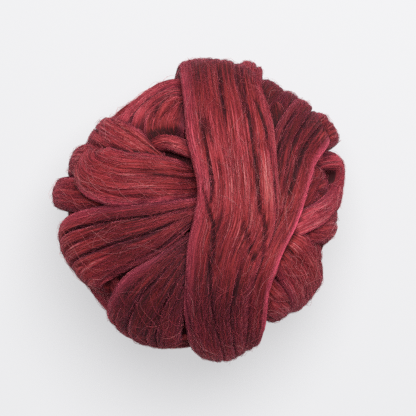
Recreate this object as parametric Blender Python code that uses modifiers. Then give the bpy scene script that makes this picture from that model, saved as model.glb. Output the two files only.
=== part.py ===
"""A ball of combed wool roving: one long, wide strand wound over itself, resting on a small flat spot.

Metres, +Z up, +Y towards the far end of the strap that runs over the crown. The origin is the middle
of the flat spot. The ball is a flattened core with the strand's laps laid on it as lofted bands, all
fused into one solid.
"""

from collections import namedtuple
from math import copysign, exp, pi, sin

import bmesh
import bpy
from mathutils import Vector, noise

# ---------------------------------------------------------------- driving sizes
SHELL_WIDTH = 0.144             # the shell that the laps are laid on, along X
SHELL_DEPTH = 0.148             # along Y
SHELL_HEIGHT = 0.098            # along Z
CENTRE_HEIGHT = 0.050           # of the shell's middle over the flat spot
SHELL_FULLNESS = 2.35           # 2 is an ellipsoid, more fills out its shoulders
CORE_INSET = 0.0035             # the core's surface lies this far inside the shell
CORE_SEGMENTS = 64
CORE_RINGS = 32

FOLD_DEPTH = 0.0034             # of the lengthwise folds in a lap
FOLD_LENGTH = 0.080             # over which a fold drifts and fades
FOLD_SHARPNESS = 3.2            # how soon a fold's side reaches its full height
FOLD_PATTERN_STEP = 5.3         # sets each lap's folds apart from the last one's
CREASE_WIDTH = 0.0022           # from the middle of a crease to where it is mostly gone
SECTION_SQUARENESS = 2.6        # 2 is an ellipse, more is boxier
END_TAPER = 0.45                # part of a row's step over which a lap's end narrows
END_WIDTH = 0.35                # part of its width that is left there
END_SINK = 0.005                # by which the end dips

STEP_ALONG = 0.004              # between the loft's sections
ROW_DIVISIONS = 40              # steps between two rows when a lap is measured
LOOK_ASIDE = 0.02               # part of a row's step over which a lap's heading is taken
POINTS_OVER = 25                # across a section's outer side
POINTS_UNDER = 9                # across its inner side
FUSE_CELL = 0.0016              # of the grid that fuses core and laps
TRIANGLES = 11400               # that are kept of the fused surface
CUT_SNAP = 0.0006               # a corner this near the floor is drawn onto it
MERGE = 0.0006

WOOL_COLOUR = (0.185, 0.029, 0.036, 1.0)
WOOL_ROUGHNESS = 0.85

CENTRE = Vector((0.0, 0.0, CENTRE_HEIGHT))
RADII = Vector((SHELL_WIDTH / 2, SHELL_DEPTH / 2, SHELL_HEIGHT / 2))

# ---------------------------------------------------------------- the laps
# x, y   where the middle of the lap is, seen from above, from the ball's axis
# face   1 on the upper half, 0 at the rim, -1 on the lower half, and parts of 1 near the rim
# width  across the lap
# lift   of its outer side over the shell; less than nothing tucks it under its neighbours
# cup    how far its edges stand over its middle, or below it where negative
Row = namedtuple("Row", "x y face width lift cup")
Lap = namedtuple("Lap", "name thickness folds rows")

LAPS = (
    # the cords that curve out from under the strap at the far side
    Lap("far_left_cord_outer", 0.011, 1, (
        Row(0.000, 0.070, 0.9, 0.009, -0.003, 0),
        Row(-0.014, 0.068, 0.9, 0.009, 0.002, 0),
        Row(-0.0255, 0.061, 0.9, 0.009, 0.003, 0),
        Row(-0.035, 0.053, 0.9, 0.010, 0.002, 0),
        Row(-0.044, 0.044, 1, 0.011, 0.000, 0),
        Row(-0.049, 0.034, 1, 0.010, -0.007, 0))),
    Lap("far_left_cord_middle", 0.011, 1, (
        Row(0.000, 0.065, 1, 0.008, -0.003, 0),
        Row(-0.013, 0.063, 1, 0.008, 0.003, 0),
        Row(-0.023, 0.057, 1, 0.008, 0.004, 0),
        Row(-0.031, 0.049, 1, 0.009, 0.004, 0),
        Row(-0.037, 0.039, 1, 0.010, -0.003, 0))),
    Lap("far_left_fold", 0.013, 2, (
        Row(-0.004, 0.064, 1, 0.013, -0.006, 0),
        Row(-0.011, 0.058, 1, 0.018, 0.003, 0),
        Row(-0.016, 0.050, 1, 0.022, 0.006, 0),
        Row(-0.019, 0.042, 1, 0.023, 0.005, 0),
        Row(-0.018, 0.032, 1, 0.019, -0.007, 0))),
    Lap("small_left_lap", 0.010, 1, (
        Row(-0.032, 0.033, 1, 0.008, -0.004, 0),
        Row(-0.019, 0.036, 1, 0.009, 0.003, 0),
        Row(-0.008, 0.033, 1, 0.009, 0.004, 0),
        Row(0.004, 0.029, 1, 0.008, -0.002, 0))),
    # the left side: a broad fold with the lobes behind it, a fan and a petal
    Lap("left_lobe_far", 0.015, 3, (
        Row(-0.020, 0.023, 1, 0.018, -0.003, 0),
        Row(-0.034, 0.030, 1, 0.026, 0.005, 0),
        Row(-0.047, 0.037, 1, 0.029, 0.005, 0),
        Row(-0.056, 0.043, 0, 0.028, 0.000, 0),
        Row(-0.047, 0.037, -1, 0.027, 0.003, 0),
        Row(-0.034, 0.027, -1, 0.022, -0.005, 0))),
    Lap("left_lobe_middle", 0.015, 2, (
        Row(-0.045, 0.019, 1, 0.020, 0.001, 0),
        Row(-0.058, 0.026, 1, 0.022, 0.003, 0),
        Row(-0.067, 0.025, 0, 0.022, 0.005, 0),
        Row(-0.056, 0.022, -1, 0.027, 0.005, 0),
        Row(-0.040, 0.016, -1, 0.024, -0.005, 0))),
    Lap("left_lobe_near", 0.015, 2, (
        Row(-0.048, 0.008, 1, 0.018, 0.001, 0),
        Row(-0.062, 0.008, 1, 0.020, 0.004, 0),
        Row(-0.071, 0.0085, 0, 0.017, 0.010, 0),
        Row(-0.060, 0.007, -1, 0.024, 0.006, 0),
        Row(-0.044, 0.001, -1, 0.022, -0.005, 0))),
    Lap("left_fold", 0.014, 3, (
        Row(0.006, 0.018, 1, 0.018, -0.008, 0),
        Row(-0.006, 0.016, 1, 0.021, -0.003, 0),
        Row(-0.016, 0.016, 1, 0.025, 0.005, 0),
        Row(-0.028, 0.016, 1, 0.028, 0.008, 0),
        Row(-0.041, 0.016, 1, 0.030, 0.009, 0),
        Row(-0.054, 0.021, 1, 0.029, 0.009, 0),
        Row(-0.057, 0.031, 1, 0.026, 0.004, 0),
        Row(-0.052, 0.039, 1, 0.022, -0.006, 0))),
    Lap("left_fan", 0.014, 5, (
        Row(0.008, 0.003, 1, 0.012, -0.003, 0),
        Row(-0.005, -0.001, 1, 0.015, 0.003, 0),
        Row(-0.025, -0.009, 1, 0.029, 0.007, 0),
        Row(-0.045, -0.015, 1, 0.037, 0.008, 0),
        Row(-0.060, -0.023, 0.8, 0.042, 0.010, 0),
        Row(-0.060, -0.039, 0.2, 0.042, 0.001, 0),
        Row(-0.046, -0.051, -0.6, 0.034, 0.001, 0),
        Row(-0.030, -0.056, -0.9, 0.028, -0.006, 0))),
    Lap("near_left_petal", 0.014, 5, (
        Row(0.006, -0.012, 1, 0.012, -0.003, 0),
        Row(-0.007, -0.023, 1, 0.019, 0.003, 0),
        Row(-0.018, -0.037, 1, 0.030, 0.007, 0),
        Row(-0.027, -0.051, 1, 0.042, 0.008, 0),
        Row(-0.027, -0.063, 0.5, 0.046, 0.008, 0),
        Row(-0.008, -0.070, -0.1, 0.042, 0.001, 0),
        Row(0.010, -0.067, -0.6, 0.034, -0.001, 0),
        Row(0.024, -0.058, -0.9, 0.028, -0.007, 0))),
    # the right side: small lobes at the far end, then folds and petals that fan out to the rim
    Lap("far_right_cord", 0.010, 1, (
        Row(0.024, 0.069, 1, 0.011, -0.003, 0),
        Row(0.036, 0.063, 1, 0.012, 0.002, 0),
        Row(0.043, 0.053, 1, 0.013, 0.003, 0),
        Row(0.045, 0.040, 1, 0.013, 0.001, 0),
        Row(0.043, 0.026, 1, 0.012, -0.005, 0))),
    Lap("far_strap_roll", 0.014, 1, (
        Row(0.022, 0.054, 1, 0.010, 0.002, 0),
        Row(0.025, 0.064, 1, 0.011, 0.009, 0),
        Row(0.0245, 0.068, 0, 0.013, 0.014, 0),
        Row(0.021, 0.054, -1, 0.017, 0.008, 0),
        Row(0.016, 0.040, -1, 0.017, -0.004, 0))),
    Lap("far_right_lobe_inner", 0.014, 1, (
        Row(0.028, 0.050, 1, 0.013, -0.002, 0),
        Row(0.034, 0.060, 1, 0.015, 0.006, 0),
        Row(0.038, 0.063, 0, 0.017, 0.008, 0),
        Row(0.030, 0.050, -1, 0.020, 0.004, 0),
        Row(0.022, 0.037, -1, 0.018, -0.005, 0))),
    Lap("far_right_lobe_outer", 0.015, 2, (
        Row(0.038, 0.041, 1, 0.014, 0.000, 0),
        Row(0.047, 0.050, 1, 0.018, 0.004, 0),
        Row(0.050, 0.055, 0, 0.022, 0.010, 0),
        Row(0.042, 0.043, -1, 0.024, 0.005, 0),
        Row(0.030, 0.031, -1, 0.022, -0.005, 0))),
    Lap("near_right_petal", 0.014, 1, (
        Row(0.026, -0.032, 1, 0.012, -0.005, 0),
        Row(0.035, -0.045, 1, 0.022, 0.003, 0),
        Row(0.046, -0.054, 0, 0.023, 0.002, 0),
        Row(0.034, -0.048, -1, 0.026, 0.002, 0),
        Row(0.024, -0.034, -1, 0.022, -0.005, 0))),
    Lap("right_petal", 0.014, 1, (
        Row(0.032, -0.010, 1, 0.014, -0.004, 0),
        Row(0.045, -0.018, 1, 0.026, 0.006, 0),
        Row(0.053, -0.027, 1, 0.033, 0.006, 0),
        Row(0.057, -0.045, 0, 0.030, 0.006, 0),
        Row(0.052, -0.034, -1, 0.036, 0.003, 0),
        Row(0.036, -0.024, -1, 0.028, -0.005, 0))),
    Lap("right_lobe", 0.014, 1, (
        Row(0.042, -0.008, 1, 0.008, -0.004, 0),
        Row(0.053, -0.009, 1, 0.016, 0.003, 0),
        Row(0.062, -0.008, 1, 0.021, 0.005, 0),
        Row(0.071, -0.006, 0, 0.022, 0.004, 0),
        Row(0.060, -0.010, -1, 0.028, 0.004, 0),
        Row(0.042, -0.008, -1, 0.024, -0.005, 0))),
    Lap("right_loop", 0.013, 2, (
        Row(0.040, 0.030, 1, 0.014, -0.008, 0),
        Row(0.054, 0.029, 0.9, 0.018, -0.001, 0),
        Row(0.063, 0.021, 0.7, 0.022, 0.001, 0),
        Row(0.060, 0.012, 0.9, 0.020, 0.001, 0),
        Row(0.053, 0.002, 1, 0.018, 0.003, 0),
        Row(0.044, -0.008, 1, 0.014, 0.003, 0),
        Row(0.037, -0.018, 1, 0.010, -0.005, 0))),
    Lap("right_loop_rim", 0.011, 1, (
        Row(0.055, 0.024, 0.9, 0.010, -0.005, 0),
        Row(0.064, 0.0245, 0.5, 0.011, 0.010, 0),
        Row(0.069, 0.017, 0.3, 0.011, 0.010, 0),
        Row(0.069, 0.008, 0.4, 0.012, 0.007, 0),
        Row(0.063, 0.001, 0.8, 0.012, 0.007, 0),
        Row(0.055, -0.005, 1, 0.012, 0.008, 0),
        Row(0.046, -0.010, 1, 0.012, 0.006, 0),
        Row(0.038, -0.018, 1, 0.010, -0.003, 0))),
    Lap("right_fold", 0.014, 4, (
        Row(0.038, 0.028, -1, 0.026, -0.005, 0),
        Row(0.050, 0.040, -1, 0.029, 0.005, 0),
        Row(0.056, 0.045, 0.3, 0.029, 0.011, 0.001),
        Row(0.051, 0.035, 1, 0.029, 0.007, 0.003),
        Row(0.046, 0.018, 1, 0.026, 0.006, 0.004),
        Row(0.040, -0.003, 1, 0.022, 0.008, 0.004),
        Row(0.031, -0.022, 1, 0.019, 0.009, 0.005),
        Row(0.025, -0.045, 1, 0.019, 0.007, 0.005),
        Row(0.018, -0.070, 0.1, 0.022, 0.008, 0.003),
        Row(0.015, -0.052, -1, 0.024, 0.003, 0),
        Row(0.012, -0.034, -1, 0.022, -0.005, 0))),
    # the underside and the lower sides
    Lap("sole_lap", 0.014, 4, (
        Row(-0.048, -0.034, -1, 0.034, -0.004, 0),
        Row(-0.026, -0.018, -1, 0.040, 0.004, 0),
        Row(0.000, 0.000, -1, 0.042, 0.005, 0),
        Row(0.026, 0.018, -1, 0.040, 0.004, 0),
        Row(0.048, 0.034, -1, 0.034, -0.004, 0))),
    Lap("far_left_side", 0.014, 3, (
        Row(-0.018, 0.052, 1, 0.026, -0.005, 0),
        Row(-0.028, 0.058, 1, 0.032, -0.008, 0),
        Row(-0.034, 0.062, 0, 0.036, -0.005, 0),
        Row(-0.030, 0.054, -1, 0.036, 0.001, 0),
        Row(-0.020, 0.038, -1, 0.030, -0.005, 0))),
    Lap("near_slant", 0.014, 4, (
        Row(-0.066, -0.016, -1, 0.038, -0.001, 0),
        Row(-0.058, -0.040, -0.9, 0.044, 0.003, 0),
        Row(-0.026, -0.060, -1, 0.040, 0.008, 0),
        Row(0.012, -0.050, -1, 0.040, 0.008, 0),
        Row(0.038, -0.022, -1, 0.034, -0.004, 0))),
    Lap("right_slant", 0.014, 4, (
        Row(0.014, -0.068, -1, 0.030, -0.004, 0),
        Row(0.039, -0.056, -1, 0.036, 0.000, 0),
        Row(0.060, -0.022, -1, 0.040, 0.004, 0),
        Row(0.053, 0.014, -1, 0.040, 0.008, 0),
        Row(0.026, 0.038, -1, 0.034, -0.004, 0))),
    Lap("far_slant", 0.014, 4, (
        Row(0.068, 0.014, -1, 0.030, -0.004, 0),
        Row(0.056, 0.042, -1, 0.036, 0.006, 0),
        Row(0.018, 0.064, -1, 0.040, 0.008, 0),
        Row(-0.020, 0.053, -1, 0.040, 0.006, 0),
        Row(-0.042, 0.026, -1, 0.034, -0.004, 0))),
    Lap("left_slant", 0.014, 4, (
        Row(-0.020, 0.063, -1, 0.030, -0.006, 0),
        Row(-0.045, 0.048, -1, 0.034, 0.002, 0),
        Row(-0.062, 0.012, -1, 0.040, 0.008, 0),
        Row(-0.051, -0.020, -1, 0.040, 0.007, 0),
        Row(-0.024, -0.040, -1, 0.034, -0.004, 0))),
    Lap("right_far_lobe", 0.014, 2, (
        Row(0.046, 0.028, 1, 0.014, -0.004, 0),
        Row(0.057, 0.036, 1, 0.017, 0.004, 0),
        Row(0.061, 0.0395, 0, 0.019, 0.016, 0),
        Row(0.052, 0.033, -1, 0.022, 0.006, 0),
        Row(0.037, 0.023, -1, 0.020, -0.005, 0))),
    Lap("right_side", 0.014, 3, (
        Row(0.052, 0.006, 1, 0.024, -0.005, 0),
        Row(0.064, 0.012, 1, 0.033, 0.002, 0),
        Row(0.070, 0.014, 0, 0.035, 0.000, 0),
        Row(0.058, 0.009, -1, 0.032, 0.000, 0),
        Row(0.042, 0.007, -1, 0.026, -0.005, 0))),
    # the strap over the crown, which is wound last and holds the rest down
    Lap("crown_strap", 0.014, 5, (
        Row(0.003, 0.030, -1, 0.044, -0.004, 0),
        Row(0.005, 0.054, -1, 0.048, 0.005, 0),
        Row(0.0105, 0.074, 0, 0.046, 0.010, 0),
        Row(0.012, 0.064, 1, 0.044, 0.011, 0),
        Row(0.016, 0.042, 1, 0.047, 0.011, 0),
        Row(0.020, 0.012, 1, 0.043, 0.012, 0),
        Row(0.019, -0.006, 1, 0.045, 0.012, 0),
        Row(0.0135, -0.022, 1, 0.041, 0.012, 0),
        Row(0.010, -0.039, 1, 0.036, 0.011, 0),
        Row(0.009, -0.056, 1, 0.034, 0.010, 0),
        Row(0.0125, -0.073, 0, 0.032, 0.011, -0.004),
        Row(0.013, -0.058, -1, 0.036, 0.007, 0),
        Row(0.012, -0.034, -1, 0.036, -0.004, 0))),
)

# The deep creases where strands of a lap part or slide over each other.
# start, end            how far along the lap, counted in rows of its table
# side_start, side_end  how far across it, from -1 at its left edge to 1 at its right, facing along it
Crease = namedtuple("Crease", "lap start end side_start side_end depth")

CREASES = (
    Crease("crown_strap", 2.8, 4.1, 0.12, 0.13, 0.0030),
    Crease("crown_strap", 3.0, 5.8, -0.31, -0.44, 0.0035),
    Crease("crown_strap", 3.7, 5.6, 0.60, 0.66, 0.0030),
    Crease("crown_strap", 3.5, 4.4, -0.58, -0.74, 0.0030),
    Crease("crown_strap", 5.8, 7.1, 0.05, -0.80, 0.0025),
    Crease("crown_strap", 5.4, 7.0, -0.40, -0.95, 0.0025),
    Crease("crown_strap", 4.9, 7.5, 0.90, 0.20, 0.0025),
    Crease("crown_strap", 7.0, 9.7, 0.45, -0.05, 0.0030),
    Crease("crown_strap", 7.2, 10.0, -0.40, -0.36, 0.0030),
    Crease("left_fan", 1.0, 4.2, 0.30, 0.62, 0.0030),
    Crease("left_fan", 1.0, 4.5, -0.20, -0.10, 0.0030),
    Crease("near_left_petal", 1.5, 5.0, 0.25, 0.35, 0.0030),
    Crease("near_left_petal", 1.5, 4.5, -0.30, -0.45, 0.0030),
    Crease("right_fold", 1.0, 4.6, 0.30, 0.20, 0.0030),
    Crease("right_fold", 1.4, 5.2, -0.30, -0.10, 0.0030),
    Crease("right_fold", 2.4, 7.6, 0.74, 0.60, 0.0060),
)


def smooth(values, place):
    """The value at a place along a smooth curve through evenly numbered values."""
    last = len(values) - 1
    start = min(int(place), last - 1)
    part = place - start
    before, here, after, beyond = (values[max(0, min(last, start + step))] for step in (-1, 0, 1, 2))
    return 0.5 * (here * 2
                  + (after - before) * part
                  + (before * 2 - here * 5 + after * 4 - beyond) * part ** 2
                  + (here * 3 - before - after * 3 + beyond) * part ** 3)


def way_to(row):
    """The direction from the ball's centre to a row of the table."""
    spread = min(1.0, Vector((row.x / RADII.x, row.y / RADII.y)).length)
    rise = row.face * RADII.z * (1.0 - spread ** SHELL_FULLNESS) ** (1.0 / SHELL_FULLNESS)
    return Vector((row.x, row.y, rise)).normalized()


def shell_point(way, lift):
    """The point in a direction from the centre, raised off the shell."""
    part = Vector(a / b for a, b in zip(way, RADII))
    spread = part.xy.length
    power = SHELL_FULLNESS
    reach = (spread ** power + abs(part.z) ** power) ** (-1.0 / power)
    steepness = spread ** (power - 2.0)
    slope = Vector((part.x * steepness / RADII.x, part.y * steepness / RADII.y,
                    copysign(abs(part.z) ** (power - 1.0), part.z) / RADII.z))
    return CENTRE + way * reach + slope.normalized() * lift


def even_places(ways):
    """Places between a lap's rows that are evenly spaced along it, with the distance to each."""
    fine = ROW_DIVISIONS * (len(ways) - 1)
    places = [step / ROW_DIVISIONS for step in range(fine + 1)]
    points = [shell_point(smooth(ways, place), 0.0) for place in places]
    runs = [0.0]
    for here, after in zip(points, points[1:]):
        runs.append(runs[-1] + (after - here).length)
    count = round(runs[-1] / STEP_ALONG)
    spots = []
    mark = 0
    for step in range(count + 1):
        run = runs[-1] * step / count
        while mark < fine - 1 and runs[mark + 1] < run:
            mark += 1
        share = (run - runs[mark]) / (runs[mark + 1] - runs[mark])
        spots.append((places[mark] + share / ROW_DIVISIONS, run))
    return spots


def fold_height(lap, number, across, run):
    """Lengthwise folds: round ridges with narrow valleys between them, which drift along the lap."""
    spot = Vector((across * lap.folds / 2, run / FOLD_LENGTH, number * FOLD_PATTERN_STEP))
    ridge = min(1.0, FOLD_SHARPNESS * abs(noise.noise(spot)))
    return FOLD_DEPTH * (ridge * (2.0 - ridge) - 1.0)


def crease_depth(lap, across, place, width):
    """How deep the lap's creases cut into it at a spot."""
    depth = 0.0
    for crease in CREASES:
        if crease.lap == lap.name and crease.start < place < crease.end:
            part = (place - crease.start) / (crease.end - crease.start)
            middle = crease.side_start + (crease.side_end - crease.side_start) * part
            away = (across - middle) * width / 2 / CREASE_WIDTH
            depth += crease.depth * sin(pi * part) ** 0.5 * exp(-away ** 2)
    return depth


def section(lap, number, ways, place, run):
    """One closed section of a lap, as points round its outer side and back along its inner side."""
    last = len(ways) - 1
    width = smooth([row.width for row in lap.rows], place)
    lift = smooth([row.lift for row in lap.rows], place)
    cup = smooth([row.cup for row in lap.rows], place)
    inside = min(1.0, min(place, last - place) / END_TAPER)
    full = inside * (2.0 - inside)
    width *= END_WIDTH + (1.0 - END_WIDTH) * full
    lift -= END_SINK * (1.0 - full)
    here = shell_point(smooth(ways, place), 0.0)
    ahead = shell_point(smooth(ways, min(last, place + LOOK_ASIDE)), 0.0)
    behind = shell_point(smooth(ways, max(0.0, place - LOOK_ASIDE)), 0.0)
    outward = shell_point(smooth(ways, place), lap.thickness) - here
    aside = (ahead - behind).cross(outward).normalized()
    points = []
    for side, count in ((1, POINTS_OVER), (-1, POINTS_UNDER)):
        for step in range(count):
            across = side * sin(pi * (step / count - 0.5))
            roundness = (1.0 - abs(across) ** SECTION_SQUARENESS) ** (1.0 / SECTION_SQUARENESS)
            height = lift + cup * across ** 2 + (side * roundness - 1.0) * lap.thickness / 2
            if side > 0:
                height += fold_height(lap, number, across, run)
                height -= crease_depth(lap, across, place, width)
            points.append(shell_point(here + aside * (across * width / 2) - CENTRE, height))
    return points


def lay_lap(mesh, lap, number):
    """Adds a lap to the mesh as a loft through its sections, with both ends capped."""
    ways = [way_to(row) for row in lap.rows]
    rings = []
    for place, run in even_places(ways):
        rings.append([mesh.verts.new(point) for point in section(lap, number, ways, place, run)])
    for here, after in zip(rings, rings[1:]):
        for step in range(len(here)):
            beside = (step + 1) % len(here)
            mesh.faces.new((here[step], here[beside], after[beside], after[step]))
    mesh.faces.new(rings[0][::-1])
    mesh.faces.new(rings[-1])


def lay_core(mesh):
    """Adds the flattened core that the laps are wound on."""
    ball = bmesh.ops.create_uvsphere(mesh, u_segments=CORE_SEGMENTS, v_segments=CORE_RINGS, radius=1.0)
    for corner in ball["verts"]:
        corner.co = shell_point(corner.co, -CORE_INSET)


def apply_modifiers(item):
    """Makes the object's mesh what its modifiers give, and removes them."""
    shape = item.evaluated_get(bpy.context.evaluated_depsgraph_get())
    mesh = bpy.data.meshes.new_from_object(shape)
    old = item.data
    item.modifiers.clear()
    item.data = mesh
    bpy.data.meshes.remove(old)


def fill_pockets(item):
    """Drops the skins of pockets that the laps close off inside, so that they are solid."""
    mesh = bmesh.new()
    mesh.from_mesh(item.data)
    left = set(mesh.verts)
    skins = []
    while left:
        skin = [left.pop()]
        for corner in skin:
            for edge in corner.link_edges:
                other = edge.other_vert(corner)
                if other in left:
                    left.remove(other)
                    skin.append(other)
        skins.append(skin)
    skins.sort(key=len)
    pockets = [corner for skin in skins[:-1] for corner in skin]
    bmesh.ops.delete(mesh, geom=pockets, context="VERTS")
    mesh.to_mesh(item.data)
    mesh.free()


def rest_on_floor(item):
    """Cuts the flat spot at floor height and closes it with one flat face."""
    mesh = bmesh.new()
    mesh.from_mesh(item.data)
    everything = mesh.verts[:] + mesh.edges[:] + mesh.faces[:]
    bmesh.ops.bisect_plane(mesh, geom=everything, dist=CUT_SNAP, plane_co=(0, 0, 0), plane_no=(0, 0, -1),
                           use_snap_center=True, clear_outer=True)
    bmesh.ops.remove_doubles(mesh, verts=mesh.verts, dist=MERGE)
    rim = [edge for edge in mesh.edges if edge.is_boundary]
    for edge in rim:
        for corner in edge.verts:
            corner.co.z = 0.0
    bmesh.ops.triangle_fill(mesh, edges=rim, normal=(0, 0, -1), use_beauty=True)
    bmesh.ops.recalc_face_normals(mesh, faces=mesh.faces)
    mesh.to_mesh(item.data)
    mesh.free()


def wool_material():
    """Matt crimson wool."""
    material = bpy.data.materials.new("crimson_wool")
    material.use_nodes = True
    shader = material.node_tree.nodes["Principled BSDF"]
    shader.inputs["Base Color"].default_value = WOOL_COLOUR
    shader.inputs["Roughness"].default_value = WOOL_ROUGHNESS
    shader.inputs["Metallic"].default_value = 0.0
    return material


def roving_ball(collection):
    """Core and laps, fused on a grid and thinned to the triangles that the shape needs."""
    mesh = bmesh.new()
    lay_core(mesh)
    for number, lap in enumerate(LAPS):
        lay_lap(mesh, lap, number)
    bmesh.ops.recalc_face_normals(mesh, faces=mesh.faces)
    data = bpy.data.meshes.new("roving_ball")
    mesh.to_mesh(data)
    mesh.free()
    ball = bpy.data.objects.new("roving_ball", data)
    collection.objects.link(ball)
    fuse = ball.modifiers.new("fuse", "REMESH")
    fuse.mode = "VOXEL"
    fuse.voxel_size = FUSE_CELL
    apply_modifiers(ball)
    fill_pockets(ball)
    thin = ball.modifiers.new("thin", "DECIMATE")
    thin.ratio = TRIANGLES / (2 * len(ball.data.polygons))
    apply_modifiers(ball)
    rest_on_floor(ball)
    ball.data.materials.append(wool_material())
    ball.data.shade_smooth()


def main():
    for item in list(bpy.data.objects):
        bpy.data.objects.remove(item)
    collection = bpy.data.collections.new("wool_roving")
    bpy.context.scene.collection.children.link(collection)
    roving_ball(collection)


main()
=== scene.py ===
"""The looks of a ball of combed wool roving: laps with their strands, loose fibres, floor and light.

Metres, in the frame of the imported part. The laps lie on the same shell as the solid's, in the same table.
"""

from collections import namedtuple
from math import copysign, cos, exp, pi, radians, sin

import bpy
import numpy as np
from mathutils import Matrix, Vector, noise
from mathutils.bvhtree import BVHTree


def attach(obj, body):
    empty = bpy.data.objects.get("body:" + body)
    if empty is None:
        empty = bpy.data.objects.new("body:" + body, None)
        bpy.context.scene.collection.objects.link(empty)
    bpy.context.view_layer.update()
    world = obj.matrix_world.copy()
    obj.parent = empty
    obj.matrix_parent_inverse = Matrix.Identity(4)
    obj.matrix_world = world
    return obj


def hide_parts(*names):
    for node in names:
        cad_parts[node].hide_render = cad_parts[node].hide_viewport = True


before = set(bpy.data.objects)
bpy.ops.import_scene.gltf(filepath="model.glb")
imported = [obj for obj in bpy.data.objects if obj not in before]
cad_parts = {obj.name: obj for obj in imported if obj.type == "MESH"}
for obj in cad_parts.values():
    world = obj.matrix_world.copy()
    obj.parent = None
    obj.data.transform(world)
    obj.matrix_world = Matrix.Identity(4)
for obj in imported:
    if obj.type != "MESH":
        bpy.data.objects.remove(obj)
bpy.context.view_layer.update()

# -------------------- the shell and the laps' form, as in the solid
SHELL_WIDTH = 0.144             # along X
SHELL_DEPTH = 0.148             # along Y
SHELL_HEIGHT = 0.098
CENTRE_HEIGHT = 0.050           # of the shell's middle over the flat spot
SHELL_FULLNESS = 2.35           # 2 is an ellipsoid, more fills out its shoulders
SECTION_SQUARENESS = 2.6        # of a lap's section; 2 is an ellipse, more is boxier
END_TAPER = 0.45                # of the way between two rows, over which a lap's end narrows and dips
END_WIDTH = 0.35                # of a lap's width, left at its end
END_SINK = 0.005
LOOK_ASIDE = 0.02               # of the way between two rows, ahead and behind, for a lap's heading
ROW_DIVISIONS = 40              # steps between two rows in which a lap's length is measured
FOLD_DEPTH = 0.0026             # of the lengthwise folds in a lap
FOLD_LENGTH = 0.080             # over which a fold drifts and fades
FOLD_PATTERN_STEP = 5.3         # sets each lap's folds apart from the last one's

# -------------------- what is finer than in the solid, or only here
FOLD_SHARPNESS = 6.0            # how soon a fold's side reaches its full height
CREASE_WIDTH = 0.0006           # from a crease's middle to where two thirds of its depth are gone
CREASE_FADE = 0.5               # how slowly it deepens from its ends; 0 is at once
RIDGE_SHARPNESS = 3.0           # of strands and locks, the ridges within a fold
RIDGE_LEVEL = 0.6               # of their height, which is the lap's own surface
STRAND_DEPTH = 0.00045
LOCK_DEPTH = 0.00022
LUMP_DEPTH = 0.0012             # soft unevenness of a whole lap
FOLD_SHARE = 0.55               # of their depth that a lap's folds have, and how much this varies
FOLD_SHARE_SWING = 0.9
# for the noise of each: its size across the lap and along it, and what sets it apart from the folds'
STRAND_NOISE = (0.0036, 0.065, 1.7)
LOCK_NOISE = (0.0013, 0.030, 3.1)
LUMP_NOISE = (0.022, 0.022, 4.4)
FOLD_SHARE_NOISE = (0.012, 0.045, 6.2)
EDGE_WANDER = 0.05              # part of its width by which a lap widens and narrows
WANDER_LENGTH = 0.035           # over which it does

STEP_ALONG = 0.0022             # of the mesh, along a lap
STEP_ACROSS = 0.00050
COARSE_STEP_ACROSS = 0.0015     # for the winding round the waist, which is mostly hidden
LEAST_OVER = 16                 # points across a lap's outer side
OVER_LENGTH = 1.2               # how much longer that side is than the lap is wide
POINTS_UNDER = 10               # across its inner side
JUST_BEFORE = 1.001             # how far a place stays under a grid's count, so that a next point is there
TINY = 1e-9                     # keeps a length off 0

FLOOR_GAP = 0.0001
PRESS_DEPTH = 0.006             # down to which wool that is pressed flat keeps a share of its height
PRESS_SHARE = 0.02
CORE_INSET = 0.0060             # deeper than in the solid, to leave room for the winding round the waist
CORE_SHADE_TONE = -0.5                # darker than middling wool: painted shade, as it shows only in the deepest gaps
WAIST_THICKNESS = 0.005
WAIST_FOLDS = 9
WAIST_WIDTH = 0.070
WAIST_LIFT = -0.0025
WAIST_TURNS = range(-90, 311, 40)       # degrees, with a row at each, so that its ends lie over each other

VALLEY_DEPTH = 0.0056           # of a fold or crease that is wholly in painted shade
VALLEY_SHADE = 0.85              # how much painted shade that gives it, and how much painted shade the shelter of other laps gives
SHELTER_SHADE = 2.0
SHELTER_REACH = 0.018           # how far a neighbouring lap still shelters a point
SHELTER_START = 0.0008          # how far off the surface a look for it starts
SHELTER_TILT = radians(55)
RIM_PLACES = (0.66, 0.92, 0.97, 1.00)   # how the painted pink glow at a lap's edge grows over its width, and fades on its side
RIM_SHARES = (0.00, 1.00, 0.80, 0.25)
RIM_HIDDEN = 0.7                # how much of the painted glow the painted shade of a hollow takes away
SIDE_LIGHT_GLOW = 0.65                # painted light: how pink and how light the wool turns where it rounds the ball's side, away from the window
SIDE_LIGHT_TONE = 1.1
SIDE_LIGHT_HEIGHT = 0.62              # upward part of the shell's direction under which this begins
SIDE_LIGHT_SHARE = 0.45               # of it, and by how much this falls towards the window, along X and Y
SIDE_LIGHT_WINDOW = (0.20, 0.55)
FLOW_STEP = 0.1                 # sets each lap's streaks apart from the last one's

CENTRE = Vector((0.0, 0.0, CENTRE_HEIGHT))
RADII = Vector((SHELL_WIDTH / 2, SHELL_DEPTH / 2, SHELL_HEIGHT / 2))

# -------------------- the laps
# x, y   where the middle of the lap is, seen from above, from the ball's axis
# face   1 on the upper half, 0 at the rim, -1 on the lower half, and parts of 1 near the rim
# width  across the lap
# lift   of its outer side over the shell; less than nothing tucks it under its neighbours
# cup    how far its edges stand over its middle, or below it where negative
Row = namedtuple("Row", "x y face width lift cup")
Lap = namedtuple("Lap", "name thickness folds rows")

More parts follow.
